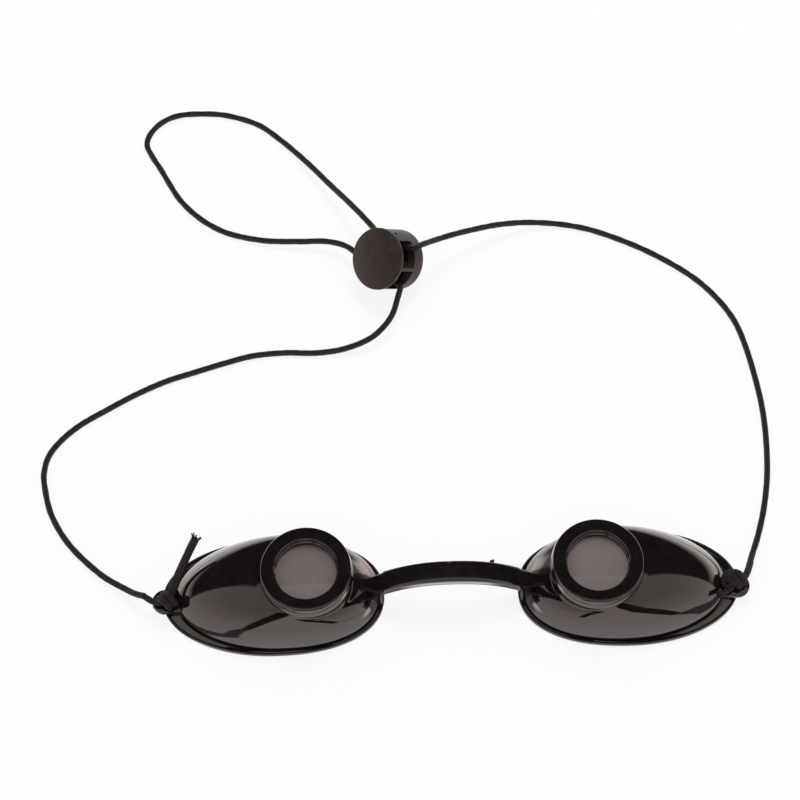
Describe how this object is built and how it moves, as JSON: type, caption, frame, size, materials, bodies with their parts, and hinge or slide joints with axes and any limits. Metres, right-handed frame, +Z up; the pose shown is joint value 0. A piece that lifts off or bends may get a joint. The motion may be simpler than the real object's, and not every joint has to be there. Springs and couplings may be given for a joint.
{
  "type": "laser eye shield",
  "caption": "Opaque oval eye cups with round dark filter windows, joined by an arched flexible nose bridge and worn on an elastic head cord with a sprung cord lock.",
  "frame": {"origin": "middle of the two cups' footprint in the plane on which their rims rest; the cord and its lock don't count", "axes": "+X from the left cup to the right cup as pictured, +Y away from the camera, +Z up, out of the lenses"},
  "size_m": [0.1794, 0.1543, 0.018],
  "materials": {
    "cup": "gloss black moulding",
    "bezel": "gloss black moulding",
    "lens": "polished dark filter",
    "bridge": "gloss flexible moulding",
    "cord": "fine round braid",
    "lock": "fine matte",
    "spring": "drawn wire"
  },
  "bodies": {
    "left_shield": {"left_eye_cup": "cup", "left_filter_lens": "lens", "left_lens_bezel": "bezel", "nose_bridge": "bridge", "left_knot": "cord", "cord_left_strand": "cord", "cord_loop": "cord", "cord_right_strand": "cord", "lock_barrel": "lock", "lock_spring": "spring"},
    "right_shield": {"right_eye_cup": "cup", "right_filter_lens": "lens", "right_lens_bezel": "bezel", "right_knot": "cord"},
    "lock_plunger": {"lock_plunger": "lock"}
  },
  "joints": [
    {"name": "bridge_flex", "type": "hinge", "parent": "left_shield", "child": "right_shield", "pos_m": [0, 0, 0.0126], "axis": [0, 1, 0], "range_deg": [-10, 25], "stiffness_Nm_per_rad": 0.08, "deforming": ["nose_bridge", "cord_right_strand"]},
    {"name": "plunger_press", "type": "slide", "parent": "left_shield", "child": "lock_plunger", "axis": [-0.618, -0.3664, 0.6956], "range_m": [0, 0.0015], "stiffness_N_per_m": 1200, "springref_m": -0.0012, "deforming": ["lock_spring"]}
  ]
}
